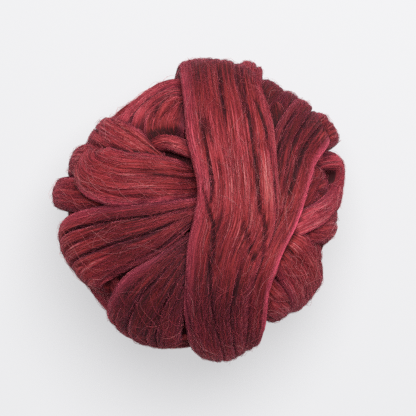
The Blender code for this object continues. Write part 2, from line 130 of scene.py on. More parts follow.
LAPS = (
    # the cords that curve out from under the strap at the far side
    Lap("far_left_cord_outer", 0.011, 1, (
        Row(0.000, 0.070, 0.9, 0.009, -0.003, 0),
        Row(-0.014, 0.068, 0.9, 0.009, 0.002, 0),
        Row(-0.0255, 0.061, 0.9, 0.009, 0.003, 0),
        Row(-0.035, 0.053, 0.9, 0.010, 0.002, 0),
        Row(-0.044, 0.044, 1, 0.011, 0.000, 0),
        Row(-0.049, 0.034, 1, 0.010, -0.007, 0))),
    Lap("far_left_cord_middle", 0.011, 1, (
        Row(0.000, 0.065, 1, 0.008, -0.003, 0),
        Row(-0.013, 0.063, 1, 0.008, 0.003, 0),
        Row(-0.023, 0.057, 1, 0.008, 0.004, 0),
        Row(-0.031, 0.049, 1, 0.009, 0.004, 0),
        Row(-0.037, 0.039, 1, 0.010, -0.003, 0))),
    Lap("far_left_fold", 0.013, 2, (
        Row(-0.004, 0.064, 1, 0.013, -0.006, 0),
        Row(-0.011, 0.058, 1, 0.018, 0.003, 0),
        Row(-0.016, 0.050, 1, 0.022, 0.006, 0),
        Row(-0.019, 0.042, 1, 0.023, 0.005, 0),
        Row(-0.018, 0.032, 1, 0.019, -0.007, 0))),
    Lap("small_left_lap", 0.010, 1, (
        Row(-0.032, 0.033, 1, 0.008, -0.004, 0),
        Row(-0.019, 0.036, 1, 0.009, 0.003, 0),
        Row(-0.008, 0.033, 1, 0.009, 0.004, 0),
        Row(0.004, 0.029, 1, 0.008, -0.002, 0))),
    # the left side: a broad fold with the lobes behind it, a fan and a petal
    Lap("left_lobe_far", 0.015, 3, (
        Row(-0.020, 0.023, 1, 0.018, -0.003, 0),
        Row(-0.034, 0.030, 1, 0.026, 0.005, 0),
        Row(-0.047, 0.037, 1, 0.029, 0.005, 0),
        Row(-0.056, 0.043, 0, 0.028, 0.000, 0),
        Row(-0.047, 0.037, -1, 0.027, 0.003, 0),
        Row(-0.034, 0.027, -1, 0.022, -0.005, 0))),
    Lap("left_lobe_middle", 0.015, 2, (
        Row(-0.045, 0.019, 1, 0.020, 0.001, 0),
        Row(-0.058, 0.026, 1, 0.022, 0.003, 0),
        Row(-0.067, 0.025, 0, 0.022, 0.005, 0),
        Row(-0.056, 0.022, -1, 0.027, 0.005, 0),
        Row(-0.040, 0.016, -1, 0.024, -0.005, 0))),
    Lap("left_lobe_near", 0.015, 2, (
        Row(-0.048, 0.008, 1, 0.018, 0.001, 0),
        Row(-0.062, 0.008, 1, 0.020, 0.004, 0),
        Row(-0.071, 0.0085, 0, 0.017, 0.010, 0),
        Row(-0.060, 0.007, -1, 0.024, 0.006, 0),
        Row(-0.044, 0.001, -1, 0.022, -0.005, 0))),
    Lap("left_fold", 0.014, 3, (
        Row(0.006, 0.018, 1, 0.018, -0.008, 0),
        Row(-0.006, 0.016, 1, 0.021, -0.003, 0),
        Row(-0.016, 0.016, 1, 0.025, 0.005, 0),
        Row(-0.028, 0.016, 1, 0.028, 0.008, 0),
        Row(-0.041, 0.016, 1, 0.030, 0.009, 0),
        Row(-0.054, 0.021, 1, 0.029, 0.009, 0),
        Row(-0.057, 0.031, 1, 0.026, 0.004, 0),
        Row(-0.052, 0.039, 1, 0.022, -0.006, 0))),
    Lap("left_fan", 0.014, 5, (
        Row(0.008, 0.003, 1, 0.012, -0.003, 0),
        Row(-0.005, -0.001, 1, 0.015, 0.003, 0),
        Row(-0.025, -0.009, 1, 0.029, 0.007, 0),
        Row(-0.045, -0.015, 1, 0.037, 0.008, 0),
        Row(-0.060, -0.023, 0.8, 0.042, 0.010, 0),
        Row(-0.060, -0.039, 0.2, 0.042, 0.001, 0),
        Row(-0.046, -0.051, -0.6, 0.034, 0.001, 0),
        Row(-0.030, -0.056, -0.9, 0.028, -0.006, 0))),
    Lap("near_left_petal", 0.014, 5, (
        Row(0.006, -0.012, 1, 0.012, -0.003, 0),
        Row(-0.007, -0.023, 1, 0.019, 0.003, 0),
        Row(-0.018, -0.037, 1, 0.030, 0.007, 0),
        Row(-0.027, -0.051, 1, 0.042, 0.008, 0),
        Row(-0.027, -0.063, 0.5, 0.046, 0.008, 0),
        Row(-0.008, -0.070, -0.1, 0.042, 0.001, 0),
        Row(0.010, -0.067, -0.6, 0.034, -0.001, 0),
        Row(0.024, -0.058, -0.9, 0.028, -0.007, 0))),
    # the right side: small lobes at the far end, then folds and petals that fan out to the rim
    Lap("far_right_cord", 0.010, 1, (
        Row(0.024, 0.069, 1, 0.011, -0.003, 0),
        Row(0.036, 0.063, 1, 0.012, 0.002, 0),
        Row(0.043, 0.053, 1, 0.013, 0.003, 0),
        Row(0.045, 0.040, 1, 0.013, 0.001, 0),
        Row(0.043, 0.026, 1, 0.012, -0.005, 0))),
    Lap("far_strap_roll", 0.014, 1, (
        Row(0.022, 0.054, 1, 0.010, 0.002, 0),
        Row(0.025, 0.064, 1, 0.011, 0.009, 0),
        Row(0.0245, 0.068, 0, 0.013, 0.014, 0),
        Row(0.021, 0.054, -1, 0.017, 0.008, 0),
        Row(0.016, 0.040, -1, 0.017, -0.004, 0))),
    Lap("far_right_lobe_inner", 0.014, 1, (
        Row(0.028, 0.050, 1, 0.013, -0.002, 0),
        Row(0.034, 0.060, 1, 0.015, 0.006, 0),
        Row(0.038, 0.063, 0, 0.017, 0.008, 0),
        Row(0.030, 0.050, -1, 0.020, 0.004, 0),
        Row(0.022, 0.037, -1, 0.018, -0.005, 0))),
    Lap("far_right_lobe_outer", 0.015, 2, (
        Row(0.038, 0.041, 1, 0.014, 0.000, 0),
        Row(0.047, 0.050, 1, 0.018, 0.004, 0),
        Row(0.050, 0.055, 0, 0.022, 0.010, 0),
        Row(0.042, 0.043, -1, 0.024, 0.005, 0),
        Row(0.030, 0.031, -1, 0.022, -0.005, 0))),
    Lap("near_right_petal", 0.014, 1, (
        Row(0.026, -0.032, 1, 0.012, -0.005, 0),
        Row(0.035, -0.045, 1, 0.022, 0.003, 0),
        Row(0.046, -0.054, 0, 0.023, 0.002, 0),
        Row(0.034, -0.048, -1, 0.026, 0.002, 0),
        Row(0.024, -0.034, -1, 0.022, -0.005, 0))),
    Lap("right_petal", 0.014, 1, (
        Row(0.032, -0.010, 1, 0.014, -0.004, 0),
        Row(0.045, -0.018, 1, 0.026, 0.006, 0),
        Row(0.053, -0.027, 1, 0.033, 0.006, 0),
        Row(0.057, -0.045, 0, 0.030, 0.006, 0),
        Row(0.052, -0.034, -1, 0.036, 0.003, 0),
        Row(0.036, -0.024, -1, 0.028, -0.005, 0))),
    Lap("right_lobe", 0.014, 1, (
        Row(0.042, -0.008, 1, 0.008, -0.004, 0),
        Row(0.053, -0.009, 1, 0.016, 0.003, 0),
        Row(0.062, -0.008, 1, 0.021, 0.005, 0),
        Row(0.071, -0.006, 0, 0.022, 0.004, 0),
        Row(0.060, -0.010, -1, 0.028, 0.004, 0),
        Row(0.042, -0.008, -1, 0.024, -0.005, 0))),
    Lap("right_loop", 0.013, 2, (
        Row(0.040, 0.030, 1, 0.014, -0.008, 0),
        Row(0.054, 0.029, 0.9, 0.018, -0.001, 0),
        Row(0.063, 0.021, 0.7, 0.022, 0.001, 0),
        Row(0.060, 0.012, 0.9, 0.020, 0.001, 0),
        Row(0.053, 0.002, 1, 0.018, 0.003, 0),
        Row(0.044, -0.008, 1, 0.014, 0.003, 0),
        Row(0.037, -0.018, 1, 0.010, -0.005, 0))),
    Lap("right_loop_rim", 0.011, 1, (
        Row(0.055, 0.024, 0.9, 0.010, -0.005, 0),
        Row(0.064, 0.0245, 0.5, 0.011, 0.010, 0),
        Row(0.069, 0.017, 0.3, 0.011, 0.010, 0),
        Row(0.069, 0.008, 0.4, 0.012, 0.007, 0),
        Row(0.063, 0.001, 0.8, 0.012, 0.007, 0),
        Row(0.055, -0.005, 1, 0.012, 0.008, 0),
        Row(0.046, -0.010, 1, 0.012, 0.006, 0),
        Row(0.038, -0.018, 1, 0.010, -0.003, 0))),
    Lap("right_fold", 0.014, 4, (
        Row(0.038, 0.028, -1, 0.026, -0.005, 0),
        Row(0.050, 0.040, -1, 0.029, 0.005, 0),
        Row(0.056, 0.045, 0.3, 0.029, 0.011, 0.001),
        Row(0.051, 0.035, 1, 0.029, 0.007, 0.003),
        Row(0.046, 0.018, 1, 0.026, 0.006, 0.004),
        Row(0.040, -0.003, 1, 0.022, 0.008, 0.004),
        Row(0.031, -0.022, 1, 0.019, 0.009, 0.005),
        Row(0.025, -0.045, 1, 0.019, 0.007, 0.005),
        Row(0.018, -0.070, 0.1, 0.022, 0.008, 0.003),
        Row(0.015, -0.052, -1, 0.024, 0.003, 0),
        Row(0.012, -0.034, -1, 0.022, -0.005, 0))),
    # the underside and the lower sides
    Lap("sole_lap", 0.014, 4, (
        Row(-0.048, -0.034, -1, 0.034, -0.004, 0),
        Row(-0.026, -0.018, -1, 0.040, 0.004, 0),
        Row(0.000, 0.000, -1, 0.042, 0.005, 0),
        Row(0.026, 0.018, -1, 0.040, 0.004, 0),
        Row(0.048, 0.034, -1, 0.034, -0.004, 0))),
    Lap("far_left_side", 0.014, 3, (
        Row(-0.018, 0.052, 1, 0.026, -0.005, 0),
        Row(-0.028, 0.058, 1, 0.032, -0.008, 0),
        Row(-0.034, 0.062, 0, 0.036, -0.005, 0),
        Row(-0.030, 0.054, -1, 0.036, 0.001, 0),
        Row(-0.020, 0.038, -1, 0.030, -0.005, 0))),
    Lap("near_slant", 0.014, 4, (
        Row(-0.066, -0.016, -1, 0.038, -0.001, 0),
        Row(-0.058, -0.040, -0.9, 0.044, 0.003, 0),
        Row(-0.026, -0.060, -1, 0.040, 0.008, 0),
        Row(0.012, -0.050, -1, 0.040, 0.008, 0),
        Row(0.038, -0.022, -1, 0.034, -0.004, 0))),
    Lap("right_slant", 0.014, 4, (
        Row(0.014, -0.068, -1, 0.030, -0.004, 0),
        Row(0.039, -0.056, -1, 0.036, 0.000, 0),
        Row(0.060, -0.022, -1, 0.040, 0.004, 0),
        Row(0.053, 0.014, -1, 0.040, 0.008, 0),
        Row(0.026, 0.038, -1, 0.034, -0.004, 0))),
    Lap("far_slant", 0.014, 4, (
        Row(0.068, 0.014, -1, 0.030, -0.004, 0),
        Row(0.056, 0.042, -1, 0.036, 0.006, 0),
        Row(0.018, 0.064, -1, 0.040, 0.008, 0),
        Row(-0.020, 0.053, -1, 0.040, 0.006, 0),
        Row(-0.042, 0.026, -1, 0.034, -0.004, 0))),
    Lap("left_slant", 0.014, 4, (
        Row(-0.020, 0.063, -1, 0.030, -0.006, 0),
        Row(-0.045, 0.048, -1, 0.034, 0.002, 0),
        Row(-0.062, 0.012, -1, 0.040, 0.008, 0),
        Row(-0.051, -0.020, -1, 0.040, 0.007, 0),
        Row(-0.024, -0.040, -1, 0.034, -0.004, 0))),
    Lap("right_far_lobe", 0.014, 2, (
        Row(0.046, 0.028, 1, 0.014, -0.004, 0),
        Row(0.057, 0.036, 1, 0.017, 0.004, 0),
        Row(0.061, 0.0395, 0, 0.019, 0.016, 0),
        Row(0.052, 0.033, -1, 0.022, 0.006, 0),
        Row(0.037, 0.023, -1, 0.020, -0.005, 0))),
    Lap("right_side", 0.014, 3, (
        Row(0.052, 0.006, 1, 0.024, -0.005, 0),
        Row(0.064, 0.012, 1, 0.033, 0.002, 0),
        Row(0.070, 0.014, 0, 0.035, 0.000, 0),
        Row(0.058, 0.009, -1, 0.032, 0.000, 0),
        Row(0.042, 0.007, -1, 0.026, -0.005, 0))),
    # the strap over the crown, which is wound last and holds the rest down
    Lap("crown_strap", 0.014, 5, (
        Row(0.003, 0.030, -1, 0.044, -0.004, 0),
        Row(0.005, 0.054, -1, 0.048, 0.005, 0),
        Row(0.0105, 0.074, 0, 0.046, 0.010, 0),
        Row(0.012, 0.064, 1, 0.044, 0.011, 0),
        Row(0.016, 0.042, 1, 0.047, 0.011, 0),
        Row(0.020, 0.012, 1, 0.043, 0.012, 0),
        Row(0.019, -0.006, 1, 0.045, 0.012, 0),
        Row(0.0135, -0.022, 1, 0.041, 0.012, 0),
        Row(0.010, -0.039, 1, 0.036, 0.011, 0),
        Row(0.009, -0.056, 1, 0.034, 0.010, 0),
        Row(0.0125, -0.073, 0, 0.032, 0.011, -0.004),
        Row(0.013, -0.058, -1, 0.036, 0.007, 0),
        Row(0.012, -0.034, -1, 0.036, -0.004, 0))),
)

# The deep creases where strands of a lap part or slide over each other.
# start, end            how far along the lap, counted in rows of its table
# side_start, side_end  how far across it, from -1 at its left edge to 1 at its right, facing along it
Crease = namedtuple("Crease", "lap start end side_start side_end depth")

CREASES = (
    Crease("crown_strap", 2.8, 4.1, 0.12, 0.13, 0.0030),
    Crease("crown_strap", 3.0, 5.8, -0.31, -0.44, 0.0035),
    Crease("crown_strap", 3.7, 5.6, 0.60, 0.66, 0.0030),
    Crease("crown_strap", 3.5, 4.4, -0.58, -0.74, 0.0030),
    Crease("crown_strap", 5.8, 7.1, 0.05, -0.80, 0.0025),
    Crease("crown_strap", 5.4, 7.0, -0.40, -0.95, 0.0025),
    Crease("crown_strap", 4.9, 7.5, 0.90, 0.20, 0.0025),
    Crease("crown_strap", 7.0, 9.7, 0.45, -0.05, 0.0030),
    Crease("crown_strap", 7.2, 10.0, -0.40, -0.36, 0.0030),
    Crease("left_fan", 1.0, 4.2, 0.30, 0.62, 0.0030),
    Crease("left_fan", 1.0, 4.5, -0.20, -0.10, 0.0030),
    Crease("near_left_petal", 1.5, 5.0, 0.25, 0.35, 0.0030),
    Crease("near_left_petal", 1.5, 4.5, -0.30, -0.45, 0.0030),
    Crease("right_fold", 1.0, 4.6, 0.30, 0.20, 0.0030),
    Crease("right_fold", 1.4, 5.2, -0.30, -0.10, 0.0030),
    Crease("right_fold", 2.4, 7.6, 0.74, 0.60, 0.0060),
)


# -------------------- how each lap is coloured, with painted light and shade
# tones        at even steps along the lap: below 0 darker and browner, above it lighter and redder; partly the wool's own tone, partly painted light and shade where a lap faces the light or turns away from it
# left, right  how much painted pink glow that edge has, facing along the lap, for light that comes through
# thin wool
# glow         how much painted pink glow the whole lap has
Shade = namedtuple("Shade", "tones left right glow", defaults=(0.0,))

SHADES = {
    "crown_strap": Shade(
        (-0.8, -0.8, -1.0, -1.6, -0.6, 0.3, 0.2, -0.6, -2.2, 0.0, 1.0, -0.3, -0.8), 0.22, 0.35),
    "right_fold": Shade((-1.2, -1.2, -1.3, -1.2, -0.3, -0.2, -0.9, -0.7, -0.2, -0.6, -1.0), 1.40, 0.10),
    "right_loop": Shade((-1.5, -1.5, -0.9, 0.3, 0.6), 0.00, 0.30),
    "right_loop_rim": Shade((-0.5, -0.1, 0.5, 0.4), 1.30, 0.20, 0.20),
    "left_fold": Shade((-0.1, -0.1, -0.2), 0.70, 0.20),
    "left_fan": Shade((-0.1, -0.5, -1.3, 0.2, 0.6, -0.3, -0.5), 0.20, 0.40),
    "near_left_petal": Shade((-1.4, -1.7, -1.9, -0.9, 0.0, -0.8, -1.5), 0.10, 0.50),
    "far_left_cord_outer": Shade((-0.1, 0.2), 0.60, 0.90, 0.30),
    "far_left_cord_middle": Shade((-0.2, 0.1), 0.50, 0.80, 0.15),
    "far_left_fold": Shade((0.0, -0.2, -0.5, -1.5), 0.40, 0.40),
    "small_left_lap": Shade((0.3, 0.2), 0.30, 0.40, 0.10),
    "left_lobe_far": Shade((0.2, 0.2, 0.2), 0.40, 0.30),
    "left_lobe_middle": Shade((0.5, 0.2), 0.70, 0.70),
    "left_lobe_near": Shade((0.0, -0.4), 0.50, 0.50),
    "far_strap_roll": Shade((-0.4, -0.4), 0.60, 0.40),
    "far_right_lobe_inner": Shade((-1.5, -1.5), 0.20, 0.30),
    "far_right_lobe_outer": Shade((-1.8, -1.5), 0.30, 0.30),
    "far_right_cord": Shade((-0.6, -1.3, -1.3), 0.80, 0.00),
    "right_far_lobe": Shade((-0.8, -0.7), 0.40, 0.40),
    "near_right_petal": Shade((0.2, 0.2), 0.50, 0.50),
    "right_petal": Shade((0.1, 0.2), 0.40, 0.40),
    "right_lobe": Shade((0.2, 0.2), 0.50, 0.50),
}
PLAIN_SHADE = Shade((-0.1, -0.1), 0.30, 0.30)


# -------------------- shapes
def smooth(values, place):
    """The value at a place along a smooth curve through evenly numbered values."""
    last = len(values) - 1
    start = min(int(place), last - 1)
    part = place - start
    before, here, after, beyond = (values[max(0, min(last, start + step))] for step in (-1, 0, 1, 2))
    return 0.5 * (here * 2
                  + (after - before) * part
                  + (before * 2 - here * 5 + after * 4 - beyond) * part ** 2
                  + (here * 3 - before - after * 3 + beyond) * part ** 3)


def way_to(row):
    """The direction from the ball's centre to a row of the table."""
    spread = min(1.0, Vector((row.x / RADII.x, row.y / RADII.y)).length)
    rise = row.face * RADII.z * (1.0 - spread ** SHELL_FULLNESS) ** (1.0 / SHELL_FULLNESS)
    return Vector((row.x, row.y, rise)).normalized()


def shell_point(way, lift):
    """The point in a direction from the centre, raised off the shell."""
    part = Vector(a / b for a, b in zip(way, RADII))
    spread = part.xy.length
    power = SHELL_FULLNESS
    reach = (spread ** power + abs(part.z) ** power) ** (-1.0 / power)
    steepness = spread ** (power - 2.0)
    slope = Vector((part.x * steepness / RADII.x, part.y * steepness / RADII.y,
                    copysign(abs(part.z) ** (power - 1.0), part.z) / RADII.z))
    return CENTRE + way * reach + slope.normalized() * lift


def even_places(ways):
    """Places between a lap's rows that are evenly spaced along it, with the distance to each."""
    fine = ROW_DIVISIONS * (len(ways) - 1)
    places = [step / ROW_DIVISIONS for step in range(fine + 1)]
    points = [shell_point(smooth(ways, place), 0.0) for place in places]
    runs = [0.0]
    for here, after in zip(points, points[1:]):
        runs.append(runs[-1] + (after - here).length)
    count = round(runs[-1] / STEP_ALONG)
    spots = []
    mark = 0
    for step in range(count + 1):
        run = runs[-1] * step / count
        while mark < fine - 1 and runs[mark + 1] < run:
            mark += 1
        share = (run - runs[mark]) / (runs[mark + 1] - runs[mark])
        spots.append((places[mark] + share / ROW_DIVISIONS, run))
    return spots


def ridges(across, along, pattern, sharpness):
    """Round ridges with narrow valleys between them, from 0 in a valley to 1 on a ridge."""
    ridge = min(1.0, sharpness * abs(noise.noise(Vector((across, along, pattern)))))
    return ridge * (2.0 - ridge)


def crease_depth(lap, across, place, width):
    """How deep the lap's creases cut into it at a spot."""
    depth = 0.0
    for crease in CREASES:
        if crease.lap == lap.name and crease.start < place < crease.end:
            part = (place - crease.start) / (crease.end - crease.start)
            middle = crease.side_start + (crease.side_end - crease.side_start) * part
            away = (across - middle) * width / 2 / CREASE_WIDTH
            depth += crease.depth * sin(pi * part) ** CREASE_FADE * exp(-away ** 2)
    return depth


class LapGrid:
    """A lap as rings of points: round the outer side of each section, then back along its inner side."""

    def __init__(self, lap, number, step_across=STEP_ACROSS):
        self.lap = lap
        self.shade = SHADES.get(lap.name, PLAIN_SHADE)
        self.pattern = number * FOLD_PATTERN_STEP
        self.ways = [way_to(row) for row in lap.rows]
        self.spots = even_places(self.ways)
        self.nominal = sum(row.width for row in lap.rows) / len(lap.rows)
        widest = max(row.width for row in lap.rows)
        self.over = max(LEAST_OVER, round(widest * OVER_LENGTH / step_across))
        self.around = self.over + POINTS_UNDER
        rings = [self.ring(place, run) for place, run in self.spots]
        self.points = np.array([[point for point, _, _ in ring] for ring in rings])
        self.across = np.array([across for _, across, _ in rings[0]])
        self.relief = np.array([[relief for _, _, relief in ring] for ring in rings])
        self.runs = np.array([run for _, run in self.spots])
        tones = self.shade.tones
        self.tones = np.interp(np.linspace(0, 1, len(rings)), np.linspace(0, 1, len(tones)), tones)
        steps = np.diff(self.points, axis=1, append=self.points[:, :1])
        self.girth = np.append(0.0, np.cumsum(np.linalg.norm(steps, axis=-1).mean(axis=0)))

    def ring(self, place, run):
        """The points round one section, each with its place across the lap, from -1 to 1, and its relief."""
        lap = self.lap
        last = len(self.ways) - 1
        width = smooth([row.width for row in lap.rows], place)
        lift = smooth([row.lift for row in lap.rows], place)
        cup = smooth([row.cup for row in lap.rows], place)
        inside = min(1.0, min(place, last - place) / END_TAPER)
        full = inside * (2.0 - inside)
        width *= END_WIDTH + (1.0 - END_WIDTH) * full
        width *= 1.0 + EDGE_WANDER * noise.noise(Vector((run / WANDER_LENGTH, 0.0, self.pattern)))
        lift -= END_SINK * (1.0 - full)
        here = shell_point(smooth(self.ways, place), 0.0)
        ahead = shell_point(smooth(self.ways, min(last, place + LOOK_ASIDE)), 0.0)
        behind = shell_point(smooth(self.ways, max(0.0, place - LOOK_ASIDE)), 0.0)
        outward = shell_point(smooth(self.ways, place), lap.thickness) - here
        aside = (ahead - behind).cross(outward).normalized()
        ring = []
        for side, count in ((1, self.over), (-1, POINTS_UNDER)):
            for step in range(count):
                across = side * sin(pi * (step / count - 0.5))
                roundness = (1.0 - abs(across) ** SECTION_SQUARENESS) ** (1.0 / SECTION_SQUARENESS)
                height = lift + cup * across ** 2 + (side * roundness - 1.0) * lap.thickness / 2
                relief = 0.0
                if side > 0:
                    relief = self.outer_relief(across, place, run, width)
                way = here + aside * (across * width / 2) - CENTRE
                ring.append((shell_point(way, height + relief), across, relief))
        return ring

    def outer_relief(self, across, place, run, width):
        """Folds and creases as in the solid, and the strands, locks and lumps that only the looks have."""
        offset = across * self.nominal / 2

        def uneven(size, length, slice_apart):
            return noise.noise(Vector((offset / size, run / length, self.pattern + slice_apart)))

        def ridged(size, length, slice_apart):
            pattern = self.pattern + slice_apart
            return ridges(offset / size, run / length, pattern, RIDGE_SHARPNESS) - RIDGE_LEVEL

        folds = ridges(across * self.lap.folds / 2, run / FOLD_LENGTH, self.pattern, FOLD_SHARPNESS)
        share = FOLD_SHARE + FOLD_SHARE_SWING * uneven(*FOLD_SHARE_NOISE)
        return (FOLD_DEPTH * share * (folds - 1.0) - crease_depth(self.lap, across, place, width)
                + STRAND_DEPTH * ridged(*STRAND_NOISE) + LOCK_DEPTH * ridged(*LOCK_NOISE)
                + LUMP_DEPTH * uneven(*LUMP_NOISE))

    def at(self, rows, columns):
        """Points of the outer side at fractional rows and columns of the grid."""
        rows = np.clip(rows, 0, len(self.points) - JUST_BEFORE)
        columns = np.clip(columns, 0, self.over - JUST_BEFORE)
        row, column = rows.astype(int), columns.astype(int)
        down, along = (rows - row)[..., None], (columns - column)[..., None]
        near = self.points[row, column] * (1 - along) + self.points[row, column + 1] * along
        far = self.points[row + 1, column] * (1 - along) + self.points[row + 1, column + 1] * along
        return near * (1 - down) + far * down


def unit(vectors):
    """The same directions, each vector made 1 long."""
    return vectors / np.maximum(np.linalg.norm(vectors, axis=-1, keepdims=True), TINY)


def outward_from_centre(points):
    """The shell's outward direction near points, as unit vectors."""
    return unit((points - np.array(CENTRE)) / np.array(RADII) ** 2)


def press_to_floor(points):
    """Flattens what would lie below the floor into the ball's flat spot."""
    pressed = points.copy()
    kept = PRESS_SHARE * np.maximum(0.0, pressed[..., 2] + PRESS_DEPTH)
    pressed[..., 2] = np.maximum(pressed[..., 2], FLOOR_GAP + kept)
    return pressed


# -------------------- painted shade in the hollows, and painted pink glow
def every_second(count):
    """Every second number below the count, and the last."""
    return np.unique(np.append(np.arange(0, count, 2), count - 1))


def shelter(grid, tree):
    """How much other laps close in on each point of a lap's outer side, from 0 in the open to 1, hidden."""
    outer = grid.points[:, :grid.over]
    along = unit(np.gradient(outer, axis=0))
    sideways = unit(np.gradient(outer, axis=1))
    normal = np.cross(along, sideways)
    normal *= np.sign((normal * outward_from_centre(outer)).sum(-1, keepdims=True))
    rows, columns = every_second(len(outer)), every_second(grid.over)
    closed = np.zeros((len(rows), len(columns)))
    for i, row in enumerate(rows):
        for j, column in enumerate(columns):
            up = Vector(normal[row, column])
            start = Vector(outer[row, column]) + up * SHELTER_START
            tangents = (along[row, column], sideways[row, column])
            rays = [up] + [up * cos(SHELTER_TILT) + Vector(side * sin(SHELTER_TILT))
                           for tangent in tangents for side in (tangent, -tangent)]
            for ray in rays:
                distance = tree.ray_cast(start, ray, SHELTER_REACH)[3]
                if distance is not None:
                    closed[i, j] += (1.0 - distance / SHELTER_REACH) / len(rays)
    full = np.array([np.interp(np.arange(grid.over), columns, line) for line in closed])
    return np.array([np.interp(np.arange(len(outer)), rows, line) for line in full.T]).T


def hollow_of(grid, tree):
    """How much painted shade darkens each point of a lap's outer side, in a crease or under its neighbours,
    from 0 to 1.
    """
    valleys = np.clip(-grid.relief[:, :grid.over] / VALLEY_DEPTH, 0, 1) ** 2
    return np.clip(VALLEY_SHADE * valleys + SHELTER_SHADE * shelter(grid, tree), 0, 1)


def painted_side_light(points):
    """Where painted light goes: how far each point lies on the ball's side, most on the side away from the
    window.
    """
    way = outward_from_centre(points)
    aslant = np.clip(1.0 - np.abs(way[..., 2]) / SIDE_LIGHT_HEIGHT, 0, 1)
    away = np.clip(SIDE_LIGHT_SHARE - SIDE_LIGHT_WINDOW[0] * way[..., 0] - SIDE_LIGHT_WINDOW[1] * way[..., 1], 0, 1)
    return aslant * away


def painted_glow_of(grid):
    """How much painted pink glow each point of a lap's outer side has: at its thin edges, for light through
    thin wool, and as painted light on the ball's side.
    """
    across = grid.across[:grid.over]
    edge = np.where(across < 0, grid.shade.left, grid.shade.right)
    edge = np.maximum(edge * np.interp(np.abs(across), RIM_PLACES, RIM_SHARES), grid.shade.glow)
    return np.maximum(edge, SIDE_LIGHT_GLOW * painted_side_light(grid.points[:, :grid.over])) * (1.0 - RIM_HIDDEN * grid.hollow)


# -------------------- pieces
def set_numbers(layer, kind, values):
    layer.data.foreach_set(kind, np.ascontiguousarray(values, dtype=np.float32).ravel())


def add_map(mesh, name, places):
    set_numbers(mesh.uv_layers.new(name=name), "uv", places)


def add_value(mesh, name, values):
    set_numbers(mesh.attributes.new(name, "FLOAT", "POINT"), "value", values)


def dress(piece):
    """What every piece of the ball shares: it stands for the solid and moves with it."""
    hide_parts("roving_ball")
    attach(piece, "root")


def add_piece(mesh, material):
    mesh.materials.append(material)
    mesh.shade_smooth()
    piece = bpy.data.objects.new(mesh.name, mesh)
    bpy.context.scene.collection.objects.link(piece)
    dress(piece)


def add_lap(grid, material):
    """The lap's closed mesh, with a map along the fibres, a map for finishing and its shading values."""
    rows, around = grid.points.shape[:2]
    index = np.arange(rows * around).reshape(rows, around)
    beside = np.roll(index, -1, axis=1)
    faces = np.stack([index[:-1], beside[:-1], beside[1:], index[1:]], axis=-1).reshape(-1, 4)
    mesh = bpy.data.meshes.new(grid.lap.name + "_wool")
    ends = [index[0][::-1].tolist(), index[-1].tolist()]
    mesh.from_pydata(press_to_floor(grid.points).reshape(-1, 3), [], faces.tolist() + ends)
    corner = np.zeros(len(mesh.loops), dtype=np.int32)
    mesh.loops.foreach_get("vertex_index", corner)
    ring, column = corner // around, corner % around
    # the faces that close a ring end at the far edge of the maps, not back at their start
    quads = column[:len(faces) * 4].reshape(-1, 4)
    closing = (quads.max(axis=1) == around - 1) & (quads.min(axis=1) == 0)
    quads[closing] = np.where(quads[closing] == 0, around, quads[closing])
    flow = grid.girth[column] + grid.pattern * FLOW_STEP
    add_map(mesh, "Flow", np.stack([flow, grid.runs[ring]], axis=-1))
    add_map(mesh, "OFBake", np.stack([column / around, ring / (rows - 1)], axis=-1))
    # the inner side is wholly in painted shade, and has no painted glow
    for name, outer, under in (("hollow", grid.hollow, 1.0), ("rim", grid.rim, 0.0)):
        values = np.full((rows, around), under)
        values[:, :grid.over] = outer
        add_value(mesh, name, values)
    # painted light on the ball's side away from the window lightens the tone
    add_value(mesh, "tone", grid.tones[:, None] + SIDE_LIGHT_TONE * painted_side_light(grid.points))
    add_piece(mesh, material)


def waist():
    """The winding just over the core, round the ball's waist, which shows where the laps leave it bare."""
    rows = [Row(RADII.x * cos(turn), RADII.y * sin(turn), 0, WAIST_WIDTH, WAIST_LIFT, 0)
            for turn in map(radians, WAIST_TURNS)]
    return Lap("waist_winding", WAIST_THICKNESS, WAIST_FOLDS, rows)


def add_core(material):
    """The inner winding, which shows only in the deepest gaps between the laps."""
    bpy.ops.object.select_all(action="DESELECT")
    bpy.ops.mesh.primitive_uv_sphere_add(segments=64, ring_count=32, radius=1.0, location=(0, 0, 0))
    piece = bpy.context.active_object
    piece.name = "inner_winding"
    for corner in piece.data.vertices:
        corner.co = shell_point(corner.co.normalized(), -CORE_INSET)
        corner.co.z = max(corner.co.z, FLOOR_GAP)
    piece.data.materials.append(material)
    piece.data.uv_layers[0].name = "Flow"
    # painted shade: the core is wholly dark, as it shows only in the deepest gaps between the laps
    for name, value in (("hollow", 1.0), ("rim", 0.0), ("tone", CORE_SHADE_TONE)):
        add_value(piece.data, name, np.full(len(piece.data.vertices), value))
    piece.data.shade_smooth()
    dress(piece)


# -------------------- loose fibres
FIBRE_SEED = 11
FIBRES_IN_A_PIECE = 4800
FIBRE_SIDES = 3
FIBRE_ENDS = 0.35               # how sharp a fibre's ends are; 0 is blunt
FIBRE_RADII = (0.6, 1.3)        # least and most, of its kind's
FIBRE_WAVES = (0.6, 1.6)        # least and most, of its crimp
RISE_MIDDLE = 0.7               # of its height over the lap, which swings along it
RISE_SWING = 0.5
RISE_WAVES = 1.3                # for each of its crimp's
FIBRE_TONE = 0.08               # how far the fibres follow their lap's tone, with its painted light and shade, and its painted pink glow
FIBRE_GLOW = 0.50
SIGHT_START = 0.0004            # how far off the fibre a look outward starts
SIGHT_REACH = 0.05
MAP_INSET = 0.06                # room round a fibre in its cell of the map

# per_area             how many on a square metre of lap, before those that other laps hide are left out
# points, radius       how many points along it, and half its thickness
# shortest, longest    length
# drift, crimp         how far the end strays sideways from the lap's run, and how far the fibre waves
# lowest, highest      over the lap
# tone, spread         from 0, dark, to 1, pale, and how much this varies
# sinking              how much painted shade darkens them in the hollows
Fibres = namedtuple(
    "Fibres", "name per_area points radius shortest longest drift lowest highest crimp tone spread sinking")

